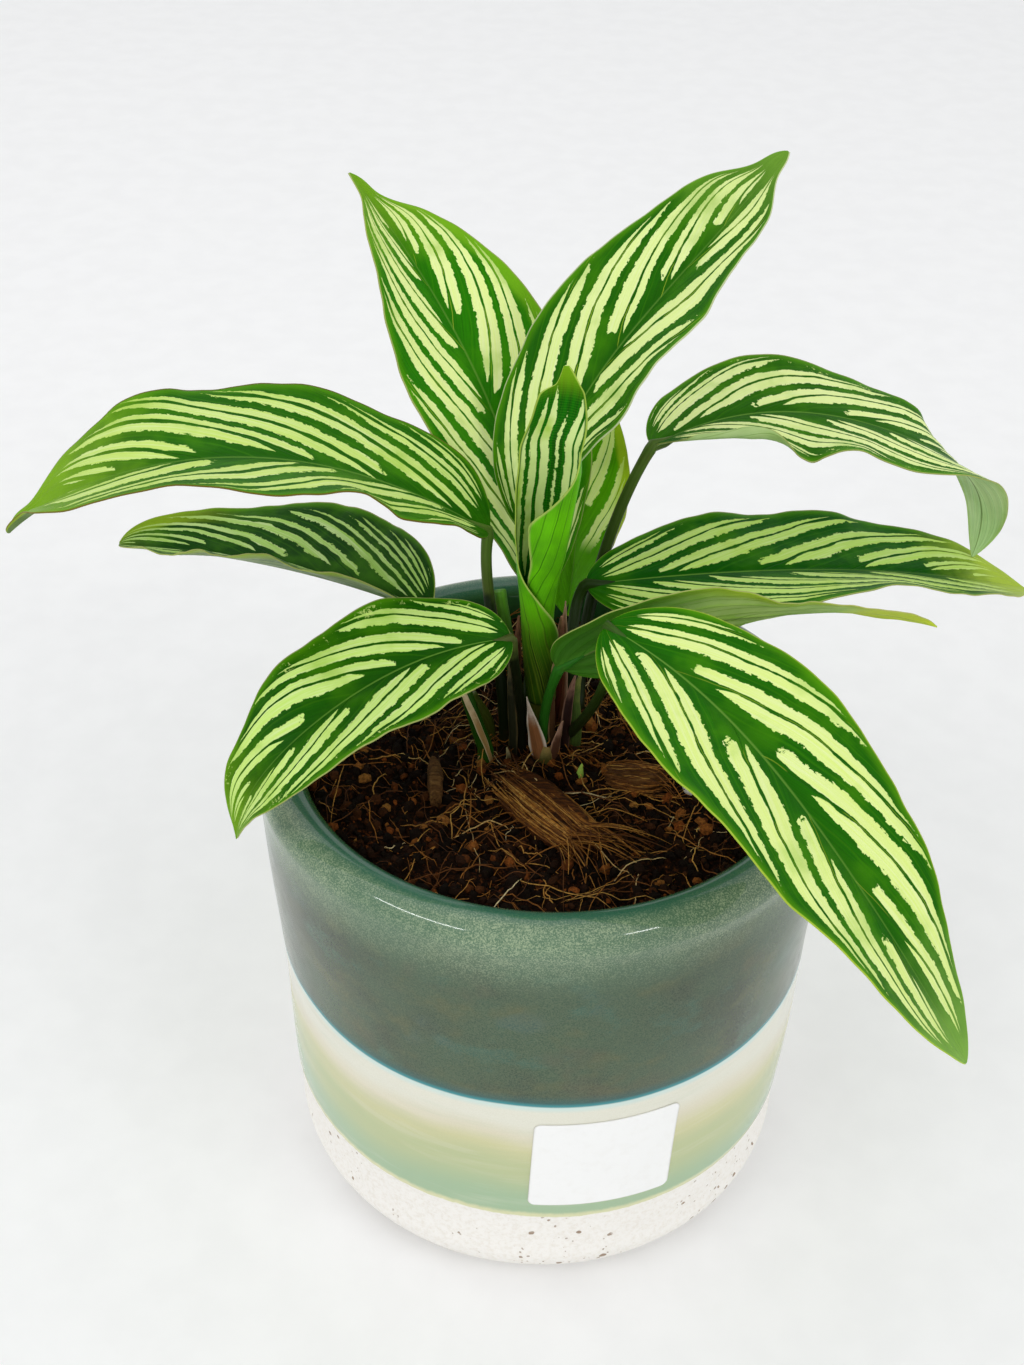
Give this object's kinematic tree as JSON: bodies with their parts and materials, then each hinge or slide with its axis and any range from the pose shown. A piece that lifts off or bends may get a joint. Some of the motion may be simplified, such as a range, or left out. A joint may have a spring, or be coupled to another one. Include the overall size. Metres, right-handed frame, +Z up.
{
  "type": "potted calathea",
  "caption": "House plant with long oval leaves striped in lime on dark green, on slim stalks from a crown in coir potting mix, in a round glazed pot with a rolled rim and a bare clay foot",
  "frame": {"origin": "centre of the pot's round foot, on the surface it stands on", "axes": "+Z up along the pot's axis; -Y is the front, where the blank label is; +X to the right seen from the front"},
  "size_m": [0.2604, 0.2042, 0.2675],
  "materials": {
    "glaze": "gloss",
    "sticker": "satin",
    "soil": "matte",
    "leaf": "satin",
    "young_leaf": "satin",
    "cut_stem": "matte",
    "dry_scale": "matte",
    "husk": "matte",
    "wood": "matte",
    "perlite": "matte",
    "sprout": "satin"
  },
  "bodies": {
    "root": {"pot": "glaze", "label": "sticker", "potting_mix": "soil", "leaf_back_left": "leaf", "leaf_back_right": "leaf", "leaf_left_high": "leaf", "leaf_left_low": "leaf", "leaf_front_left": "leaf", "leaf_right_arch": "leaf", "leaf_right_middle": "leaf", "leaf_right_turned": "leaf", "leaf_front_right": "leaf", "leaf_back_young": "leaf", "leaf_rolled": "young_leaf", "cut_stem_back": "cut_stem", "cut_stem_left": "cut_stem", "dry_scale_front": "dry_scale", "dry_scale_back": "dry_scale", "husk_front": "husk", "husk_right": "husk", "wood_chip": "wood", "perlite_grain": "perlite", "sprout": "sprout"}
  },
  "joints": []
}
